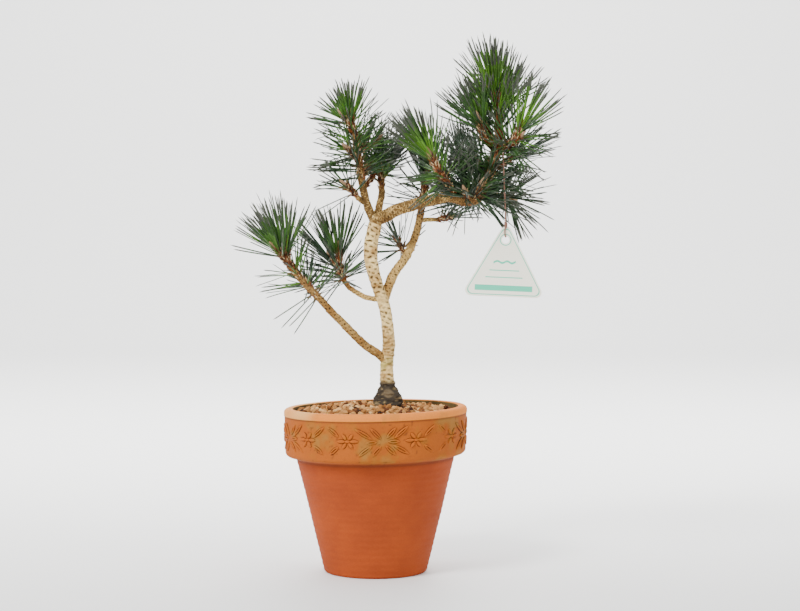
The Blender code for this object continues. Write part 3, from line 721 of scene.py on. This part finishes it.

# Foot and tip in millimetres, kind, green, and the stem's thickness in millimetres
# A shoot's green is partly its age and partly painted shade: shoots at the rear, inside and under
# the crown take the dark greens, young ones at the front the bright
shoots = [
    # low left bough
    ((-88, -31, 329), (-103.5, -33, 356), "young", "bright", 6.2),
    ((-90, -31, 332), (-106, -44, 352), "young", "mid", 3.6),
    ((-93, -32, 335), (-96, -18, 356), "young", "mid", 3.6),
    ((-60, -25, 298.5), (-90, -31, 332), "older", "mid", 6.4),
    ((-69, -27, 308), (-76, -12, 318), "small", "dark", 3.4),
    # middle left bough
    ((-39.2, 21, 327), (-40.8, 24, 350), "young", "mid", 5.4),
    ((-38.8, 20, 324), (-50, 30, 343), "young", "dark", 3.4),
    ((-34.5, 17, 317), (-39.5, 21, 329), "older", "dark", 5),
    # leader
    ((-24.3, -12, 478), (-27.5, -13, 498.5), "short", "bright", 6.6),
    ((-24, -12, 480), (-34, -14, 494), "small", "mid", 3.8),
    ((-16.5, -9, 445), (-24.3, -12, 483.8), "older", "mid", 6.2),
    ((-19, -10, 455), (0, -4, 470), "small", "mid", 3.6),
    ((-15, -4, 430), (-5, 6, 446), "small", "mid", 3.6),
    ((-19, -10, 450), (-30, -26, 460), "small", "mid", 3.6),
    ((-14, -8, 425), (-20, -10, 456), "older", "dark", 6.4),
    ((-20, -14, 410), (-31.4, -26, 420.2), "small", "dark", 4.2),
    # rear of the leader
    ((-12, -6, 418), (5, 34, 445), "young", "dark", 4),
    ((6.5, 16, 427.3), (15, 42, 452), "young", "dark", 4),
    # inner bough
    ((6.5, 12, 418), (6, 20, 438), "small", "mid", 5.4),
    # spur on the right bough
    ((70, -31, 433), (59.8, -37, 452), "young", "bright", 5.6),
    ((68, -32, 436), (54, -28, 456), "young", "mid", 3.6),
    ((80, -24, 420), (69, -31, 434), "older", "mid", 5.4),
    # rear bough
    ((53.4, 36, 413), (56.1, 42, 436), "young", "dark", 5.6),
    ((50, 33, 395), (55, 40, 428), "older", "dark", 5.6),
    ((33.7, 19, 343.6), (22, 46, 366), "small", "dark", 3.6),
    ((68.7, 46, 384.6), (86.2, 56, 388.5), "small", "dark", 4.2),
    # top of the right bough
    ((133.6, -8, 464), (132.6, -8, 533), "crest", "bright", 7.4),
    ((134.3, -8, 498), (123, -10, 529), "young", "bright", 5),
    ((134.3, -8, 490), (143, 10, 518), "young", "mid", 4.4),
    ((133, -8, 464), (115, 14, 498), "young", "mid", 4.4),
    ((120.9, -10, 468.9), (112.6, -14, 491), "young", "mid", 5.2),
    ((125.3, -10, 434.8), (133.6, -8, 464), "dense", "mid", 7.4),
    # whorl to the right
    ((146.9, -30, 464.1), (158.8, -36, 485), "young", "bright", 5.4),
    ((137.5, -22, 460.3), (153.5, -34, 472.1), "older", "mid", 5.4),
    # elbow, rear and low right
    ((90, -16, 406), (108, -16, 410), "older", "dark", 4.6),
    ((106, -16, 404), (113, -26, 420), "older", "dark", 3),
    ((101, -16, 403), (97, -26, 413), "small", "dark", 2.6),
    ((112.7, -14, 407.9), (125.3, -10, 434.8), "dense", "dark", 7.8),
    ((104, -16, 403.5), (118, 4, 414), "dense", "dark", 5),
    ((118, 4, 414), (150, 34, 408), "dense", "dark", 4.4),
    ((98.8, -16, 403.3), (100, 20, 420), "older", "dark", 5),
    ((100, 20, 420), (95, 46, 448), "young", "dark", 4.2),
    ((120, 0, 435), (108, 26, 454), "young", "dark", 4.2),
    ((130, -6, 440), (156, 14, 456), "young", "dark", 4.2),
]

# Longer stems that carry several shoots: places passed through, foot and tip diameters, millimetres
stems = [
    ([(133.6, -8, 461.8), (135.4, -8, 475.7), (134.3, -8, 496.2), (132.6, -8, 533.6)],
     7, 5),
    ([(86, -18, 409.5), (79.3, -26, 421.2), (70.9, -31, 432), (63.9, -35, 442.8),
      (59.8, -37, 449.3)], 5.6, 4.2),
    ([(133, -8, 460.3), (137.5, -22, 460.3), (146.9, -30, 464.1), (153.5, -36, 472.1),
      (158.8, -36, 483)], 5.6, 4.2),
    ([(133, -8, 461.4), (120.9, -10, 468.9), (115.4, -12, 478.4), (112.6, -14, 489.1)],
     5.2, 4.2),
    ([(115, -12, 412), (120, 4, 415), (150, 34, 408)], 5.6, 4),
    ([(106, -14, 405), (100, 20, 420), (95, 46, 448)], 5.6, 4),
]

# bright, mid and dark colour the inner part of a needle, each from lit to shaded; outer has the
# colour of the outer part for each of the three. The scales go from pale to dark
greens = {
    "bright": [(0.1, 0.25, 0.012), (0.044, 0.15, 0.01), (0.018, 0.056, 0.01)],
    "mid": [(0.062, 0.165, 0.012), (0.028, 0.09, 0.012), (0.04, 0.068, 0.034)],
    "dark": [(0.028, 0.08, 0.014), (0.014, 0.044, 0.012), (0.026, 0.044, 0.026)],
    "outer": [(0.058, 0.13, 0.018), (0.034, 0.078, 0.02), (0.02, 0.042, 0.018)],
    "tip": (0.052, 0.06, 0.04), "sheath": (0.15, 0.085, 0.034), "stem": (0.16, 0.048, 0.011),
    "scales": [(0.56, 0.4, 0.21), (0.21, 0.064, 0.015), (0.05, 0.019, 0.008)],
}
# rings: shares of a needle's length; swell: its width there; perPiece: needles in one mesh
needle = {
    "width": 0.00165, "thick": 0.0007, "rings": (0.0, 0.22, 0.48, 0.74, 0.92),
    "swell": (0.8, 1.0, 1.0, 0.96, 0.78), "frontKept": 0.55, "perPiece": 4200,
    "sheathLong": (0.006, 0.011), "sheathRadius": 0.00095,
}
stem = {
    "rings": 26, "around": 14, "scales": 110, "scaleLong": (0.0026, 0.0062), "scaleRadius": 0.0007,
    "scaleOdds": (0.3, 0.38, 0.32), "budLong": 0.0125, "budRadius": 0.0024,
    "bud": (0.33, 0.2, 0.11),
}
# The masses of the solids that the needles stand for
masses = [
    "needles_low_left_tip", "needles_low_left_older", "needles_mid_left", "needles_leader_top",
    "needles_leader", "needles_leader_rear", "needles_leader_twig", "needles_inner", "needles_spur",
    "needles_rear_top", "needles_rear_inner", "needles_rear_twig", "needles_right_top",
    "needles_right_whorl", "needles_right_elbow", "needles_right_low", "needles_right_rear",
]


def insideBox(points):
    # True within the solids' box, grown by less than the margin that the visual model has
    low, high = (np.array(corner) for corner in cadBounds)
    margin = 0.02 * (high - low) + 0.004
    return ((points > low - margin) & (points < high + margin)).all(axis=-1)


def needlesOf(shoot):
    # One row for each pair on the shoot: foot, direction, length, bend, shade and parting. Pairs
    # stand by the golden angle round the shoot's axis, and lean less the nearer they are to its tip
    foot, tip, kind, green, _ = shoot
    rule = kinds[kind]
    foot, tip = np.array(foot) / 1000, np.array(tip) / 1000
    axis = unit(tip - foot)
    side, back = crossAxes(axis[None])
    pairs = rule["pairs"]
    share = np.sort(random.random(pairs)) ** 0.85
    turn = np.radians(137.5) * np.arange(pairs) + random.normal(0, 0.25, pairs)
    lean = rule["wide"] + (rule["narrow"] - rule["wide"]) * share + random.normal(0, 8, pairs)
    lean = np.radians(lean)[:, None]
    outward = side * np.cos(turn)[:, None] + back * np.sin(turn)[:, None]
    along = rule["start"] + (1 - rule["start"]) * share
    feet = foot + (tip - foot) * along[:, None] + outward * 0.0018
    ways = unit(axis * np.cos(lean) + outward * np.sin(lean) + [0, 0, 0.1])
    lengths = rule["long"] * random.uniform(0.79, 1.07, pairs) * (1 - 0.15 * share)
    bends = unit(random.normal(0, 1, (pairs, 3))) * 0.05 + axis * 0.07
    bends[:, 2] -= rule["droop"] * random.uniform(0.3, 1.2, pairs)
    light = np.clip(share * 1.4 + random.normal(0, 0.35, pairs), 0, 1)
    shades = np.where(light > 0.72, 0, np.where(light > 0.3, 1, 2))
    shades = shades + 3 * ("bright", "mid", "dark").index(green)
    # Some of those that would hide the stem from the front are left out
    kept = (ways[:, 1] > -0.55) | (random.random(pairs) < needle["frontKept"])
    parting = np.full(pairs, rule["part"])
    return [column[kept] for column in (feet, ways, lengths, bends, shades, parting)]


def makeNeedles():
    # A needle is a half-round tube on the curve foot + way * long * s + bend * long * s^2. The two
    # of a pair lean apart and turn their flat sides to each other
    columns = [np.concatenate(column) for column in zip(*map(needlesOf, shoots))]
    feet, ways, lengths, bends = columns[:4]
    tips = feet + (ways + bends) * lengths[:, None]
    kept = insideBox(tips) & insideBox(feet + ways * lengths[:, None] * 0.6)
    # Needles keep off the tag's face and off the limbs' open stretches below the crown
    x, y, z = tips.T
    kept &= ~((z < 0.382) & (x > 0.085) & (y < 0)) & ~((z < 0.384) & (x > 0.097) & (x < 0.145))
    feet, ways, lengths, bends, shades, parting = (column[kept] for column in columns)
    pairs = len(feet)
    aside = unit(np.cross(ways, unit(random.normal(0, 1, (pairs, 3)))))
    s = np.array(needle["rings"])
    halfWidth = needle["width"] / 2 * np.array(needle["swell"])[:, None]
    allRings, allStarts, allTips = [], [], []
    for half in (-1, 1):
        lean = np.radians(parting * random.uniform(0.4, 1.3, pairs)) * half
        way = unit(ways + aside * np.tan(lean)[:, None])
        long = lengths * random.uniform(0.94, 1.03, pairs)
        start = feet + aside * half * 0.0004
        centre = (start[:, None] + way[:, None] * (long[:, None] * s)[..., None]
                  + bends[:, None] * (long[:, None] * s**2)[..., None])
        tangent = unit(way[:, None] + 2 * bends[:, None] * s[None, :, None])
        flat = unit(np.cross(tangent, aside[:, None]))
        thick = np.cross(flat, tangent) * -half * needle["thick"]
        wide = flat * halfWidth
        corners = [centre + wide, centre + wide * 0.55 + thick,
                   centre - wide * 0.55 + thick, centre - wide]
        allRings.append(np.stack(corners[::-half], axis=2))
        allStarts.append(start)
        allTips.append(start + (way + bends) * long[:, None])
    rings, starts, ends = (np.concatenate(halves) for halves in (allRings, allStarts, allTips))
    shades = np.tile(shades, 2)
    looks = []
    for green in ("bright", "mid", "dark"):
        looks += numberedMaterials(f"needle_{green}", greens[green], 0.42)
    firstOuter = len(looks)
    looks += numberedMaterials("needle_outer", greens["outer"], 0.5, Specular_IOR_Level=0.2)
    looks.append(plainMaterial("needle_tip", greens["tip"], 0.55))
    for number, first in enumerate(range(0, len(rings), needle["perPiece"])):
        chosen = slice(first, first + needle["perPiece"])
        points, quads, fans = closedTubes(rings[chosen], starts[chosen], ends[chosen])
        shade = shades[chosen]
        outer, tip = firstOuter + shade // 3, np.full_like(shade, len(looks) - 1)
        bands = (shade, shade, outer, tip), (shade, tip)
        slots = [np.stack(band, axis=1).repeat(4, axis=1).ravel() for band in bands]
        mesh = makeMesh("needles", points, quads, fans, np.concatenate(slots))
        fixNormals(mesh)
        nodes = masses if number == 0 else ()
        addPiece(f"needle_pairs_{number + 1}", mesh, looks, nodes)
    makeSheaths(feet, ways)
    print("needles made:", len(rings), flush=True)


def simpleTubes(starts, ways, lengths, radius, shares, widths, around):
    # Straight round tubes: the radius times a width at each share of the length
    out, _ = spokes(ways, around)
    centre = starts[:, None] + ways[:, None] * (lengths[:, None] * np.array(shares))[..., None]
    rings = centre[:, :, None] + out[:, None] * (radius * np.array(widths))[:, None, None]
    return closedTubes(rings, centre[:, 0], centre[:, -1])


def makeSheaths(feet, ways):
    # A short papery tube round the foot of each pair
    lengths = random.uniform(*needle["sheathLong"], len(feet))
    tubes = simpleTubes(feet - ways * 0.0015, ways, lengths, needle["sheathRadius"],
                        (0, 0.4, 0.8, 1.0), (0.8, 1.1, 0.95, 0.75), 5)
    papery = plainMaterial("sheath", greens["sheath"], 0.7)
    addPiece("needle_sheaths", makeMesh("needle_sheaths", *tubes), [papery])


def makeStems():
    # Each shoot's stem is a round tube that narrows evenly and is roughened by noise, with papery
    # scales set at random points of its rings and a bud at its tip
    steps, around = stem["rings"], stem["around"]
    routes = [([foot, tip], thick + 0.8, 0.8 * thick) for foot, tip, _, _, thick in shoots] + stems
    surfaces, scaleFeet, scaleWays, budFeet, budWays = [], [], [], [], []
    for knots, foot, tip in routes:
        route, _ = smoothRoute(np.array(knots) / 1000, steps)
        along = unit(np.gradient(route, axis=0))
        out, _ = spokes(along, around)
        rough = noise(route[:, None] + out * 0.002, 0.0025, 21)
        radius = np.linspace(foot, tip, steps)[:, None] / 2000 * (1 + 0.13 * rough)
        surfaces.append(route[:, None] + out * radius[..., None])
        budFeet.append(route[-1])
        budWays.append(unit(route[-1] - route[-3]))
        row = random.integers(1, steps - 1, stem["scales"])
        column = random.integers(0, around, stem["scales"])
        scaleFeet.append(route[row] + out[row, column] * radius[row, column][:, None] * 0.92)
        scaleWays.append(unit(along[row] + out[row, column] * 0.45))
    surfaces = np.array(surfaces)
    middles = surfaces.mean(axis=2)
    points, quads, fans = closedTubes(surfaces, middles[:, 0], middles[:, -1])
    mesh = makeMesh("shoot_stems", points, quads, fans)
    shaded = ramp(noise(points, 0.0024, 22), 0.0, 0.6)
    setTint(mesh, np.clip(blend(greens["stem"], np.array(greens["stem"]) * 0.35, shaded), 0, 1))
    addPiece("shoot_stems", mesh, [barkMaterial])
    feet, ways = np.concatenate(scaleFeet), np.concatenate(scaleWays)
    count = len(feet)
    points, quads, fans = simpleTubes(feet, ways, random.uniform(*stem["scaleLong"], count),
                                      stem["scaleRadius"], (0, 0.5, 1.0), (0.9, 1.0, 0.3), 5)
    dealt = random.choice(3, count, p=stem["scaleOdds"])
    slots = facesDealt(dealt, quads, fans)
    mesh = makeMesh("shoot_scales", points, quads, fans, slots)
    looks = numberedMaterials("papery_scale", greens["scales"], 0.8)
    addPiece("shoot_scales", mesh, looks)
    budFeet, budWays = np.array(budFeet), np.array(budWays)
    lengths = np.full(len(budFeet), stem["budLong"])
    tubes = simpleTubes(budFeet - budWays * 0.001, budWays, lengths, stem["budRadius"],
                        (0, 0.2, 0.45, 0.7, 0.9, 1.0), (0.85, 1.08, 1.0, 0.72, 0.35, 0.06), 10)
    brown = plainMaterial("bud", stem["bud"], 0.7)
    addPiece("buds", makeMesh("buds", *tubes), [brown])


# Hang tag and its tie

# print: each line's height from the hole's middle, half its length and half its thickness
tag = {
    "hole": (0.1404, 0.3618), "y": -0.026, "thick": 0.001, "side": 0.091, "corner": 0.006,
    "top": 0.0205, "tilt": 2.5, "holeRadius": 0.0041, "holeRing": (0.0022, 0.0013),
    "border": (0.0016, 0.0024), "wave": 0.001,
    "print": [(-0.024, 0.012, 0.0011), (-0.033, 0.016, 0.0005), (-0.0405, 0.02, 0.0005),
              (-0.052, 0.031, 0.003)],
    "cream": (0.95, 0.92, 0.78), "mint": (0.075, 0.56, 0.36), "tie": (0.25, 0.12, 0.08),
    "thread": 0.00075, "knotThread": 0.0007, "threadTop": 0.456,
}


def tagOutline(inset):
    # A triangle with an arc at each corner, moved inward by inset, as x and z from the hole
    high, half = tag["top"], tag["side"] / 2
    low = high - 0.9 * tag["side"]
    middle = np.array([0, (high + 2 * low) / 3])
    radius = max(tag["corner"] - inset * 0.5, 0.0015)
    outline = []
    for corner, facing in (((0, high), 90), ((-half, low), 210), ((half, low), 330)):
        centre = corner + unit(middle - corner) * (2 * radius + 2 * inset)
        outline.append(arc(centre, radius, facing - 60, facing + 60, 10))
    return np.vstack(outline)


def flatPiece(name, outlines, y, thick, bevel, material, nodes=()):
    # A flat sheet with rounded edges from closed outlines in x and z, the later ones holes, turned
    # by the tag's tilt round the middle of its hole
    curve = bpy.data.curves.new(name, "CURVE")
    curve.dimensions = "2D"
    curve.fill_mode = "BOTH"
    curve.extrude = thick / 2 - bevel
    curve.bevel_depth = bevel
    curve.bevel_resolution = 1
    curve.offset = -bevel
    for outline in outlines:
        spline = curve.splines.new("POLY")
        spline.points.add(len(outline) - 1)
        corners = np.column_stack([outline, np.zeros(len(outline)), np.ones(len(outline))])
        spline.points.foreach_set("co", corners.astype(np.float32).ravel())
        spline.use_cyclic_u = True
    thing = addObject(name, curve)
    mesh = evaluatedMesh(thing)
    bpy.data.objects.remove(thing)
    places = vertexPlaces(mesh)
    cos, sin = math.cos(math.radians(tag["tilt"])), math.sin(math.radians(tag["tilt"]))
    x = tag["hole"][0] + places[:, 0] * cos + places[:, 1] * sin
    z = tag["hole"][1] + places[:, 1] * cos - places[:, 0] * sin
    turned = np.column_stack([x, y - places[:, 2], z]).astype(np.float32)
    mesh.vertices.foreach_set("co", turned.ravel())
    fixNormals(mesh, 0.000002)
    mesh.materials.clear()
    addPiece(name, mesh, [material], nodes)


def makeTag():
    # The card with its hole, and thin raised print on its face: a ring round the hole, a border, a
    # wavy line and bars
    cream = plainMaterial("tag_cream", tag["cream"], 0.45)
    mint = plainMaterial("tag_mint", tag["mint"], 0.5)
    hole, outer, inner = (arc((0, 0), tag["holeRadius"] + more, 0, 345, 24)
                          for more in (0, *tag["holeRing"]))
    card = [tagOutline(0), hole[::-1]]
    flatPiece("tag_card", card, tag["y"], tag["thick"], 0.00022, cream, ["tag"])
    near, far = (tagOutline(inset) for inset in tag["border"])
    marks = {"tag_hole_ring": [outer, inner[::-1]], "tag_border": [near, far[::-1]]}
    for number, (height, half, thick) in enumerate(tag["print"]):
        x = np.linspace(-1, 1, 60) * half
        z = height + (tag["wave"] if number == 0 else 0) * np.sin(x * 600)
        upper, lower = np.column_stack([x, z + thick]), np.column_stack([x, z - thick])
        marks[f"tag_line_{number + 1}"] = [np.vstack([upper, lower[::-1]])]
    for name, outlines in marks.items():
        flatPiece(name, outlines, tag["y"] - tag["thick"] / 2 - 0.00001, 0.0001, 0.00001, mint)


def tubeAlong(name, knots, radius, count, around, nodes=()):
    # A twisted thread: a tube whose radius swells twice round it, the swellings winding along it
    route, _ = smoothRoute(knots, count)
    out, turn = spokes(unit(np.gradient(route, axis=0)), around)
    twist = 1 + 0.1 * np.cos(2 * (turn - np.arange(count)[:, None] * 0.5))
    rings = route[:, None] + out * (radius * twist)[..., None]
    mesh = makeMesh(name, *closedTubes(rings[None], route[:1], route[-1:]))
    fixNormals(mesh)
    addPiece(name, mesh, [tieMaterial], nodes)


def makeTie():
    # The thread comes down from the needles, goes through the hole and up behind to a knot
    x, y = tag["hole"][0], tag["y"]
    front, back = y - 0.0018, y + 0.0018
    knots = [(x - 0.003, front + 0.001, tag["threadTop"]), (x - 0.0016, front, 0.419),
             (x - 0.0006, front, 0.398), (x - 0.0002, front, 0.378), (x - 0.001, front, 0.3705),
             (x - 0.0004, front + 0.0004, 0.3662), (x, y, 0.365), (x + 0.001, back, 0.3668),
             (x + 0.0012, back, 0.3705), (x + 0.0004, front + 0.0006, 0.3775)]
    tubeAlong("tag_tie_thread", knots, tag["thread"], 90, 12, ["tag_tie"])
    turns = np.linspace(0, 5 * np.pi, 40)
    knot = np.column_stack([x + 0.0012 * np.cos(turns), front + 0.0012 * np.sin(turns),
                            0.3768 + 0.0007 * turns / np.pi])
    tubeAlong("tag_tie_knot", knot, tag["knotThread"], 120, 8)


# Stage, light and camera

# Each lamp has its place, the place it looks at, its size and its power
studio = {
    "floor": (0.86, 0.86, 0.85), "world": 1.0,
    "lamps": {"key": ((-1.2, -1.5, 2.0), (0.03, 0, 0.28), 0.7, 85),
              "fill": ((1.7, -1.3, 1.1), (0.03, 0, 0.28), 1.4, 12),
              "back": ((0.3, 1.5, 1.9), (0.03, 0, 0.28), 1.2, 26),
              "backdrop_light": ((0, 1.5, 3.4), (0, 7.8945, 0), 5, 620)},
    "camera": (0.02673, -1.9306, 0.3513), "lens": 79.6, "lookDown": 1.8095,
}


def makeStage():
    # The floor runs back and curves up into the backdrop
    bend = arc((4.0, 2.0), 2.0, -90, 0, 24)
    profile = np.vstack([[(-8.0, 0.0)], bend, [(6.0, 7.0)]])
    rows = len(profile)
    edge = np.column_stack([np.full(rows, 9.0), profile])
    points = np.vstack([edge * [-1, 1, 1], edge])
    i = np.arange(rows - 1)
    quads = np.stack([i, i + rows, i + rows + 1, i + 1], axis=1)
    ground = addObject("floor", makeMesh("floor", points, quads, np.zeros((0, 3), int)))
    ground.data.materials.append(plainMaterial("pale_floor", studio["floor"], 0.6))
    world = bpy.data.worlds.new("studio")
    bpy.context.scene.world = world
    world.use_nodes = True
    sky = world.node_tree.nodes["Background"]
    setSockets(sky, {"Color": (1.0, 1.0, 1.0, 1), "Strength": studio["world"]})
    for name, (place, target, size, power) in studio["lamps"].items():
        lamp = bpy.data.lights.new(name, "AREA")
        lamp.size = size
        lamp.energy = power
        thing = addObject(name, lamp)
        thing.location = place
        # Tilted from straight down, then turned, so that it looks at its target
        aim = np.array(target) - place
        tilt = math.acos(-aim[2] / np.linalg.norm(aim))
        thing.rotation_euler = (tilt, 0, math.atan2(aim[1], aim[0]) - math.pi / 2)
    camera = addObject("camera", bpy.data.cameras.new("camera"))
    camera.data.lens = studio["lens"]
    camera.data.sensor_width = 36
    camera.location = studio["camera"]
    camera.rotation_euler = (math.radians(90 - studio["lookDown"]), 0, 0)
    bpy.context.scene.camera = camera


potMaterial = tintedMaterial("terracotta", roughness=0.78, grain=0.0016, depth=0.0003, speckle=0.06)
barkMaterial = tintedMaterial("bark", roughness=0.85, grain=0.0011, depth=0.0004, speckle=0.14)
tieMaterial = plainMaterial("tie", tag["tie"], 0.6)
makePot()
makeOrnament()
print("pot made", flush=True)
makeSubstrate()
makeGrains()
print("grains made", flush=True)
makeLimbs()
print("limbs made", flush=True)
makeStems()
print("shoots made", flush=True)
makeNeedles()
makeTag()
makeTie()
print("tag made", flush=True)
makeStage()
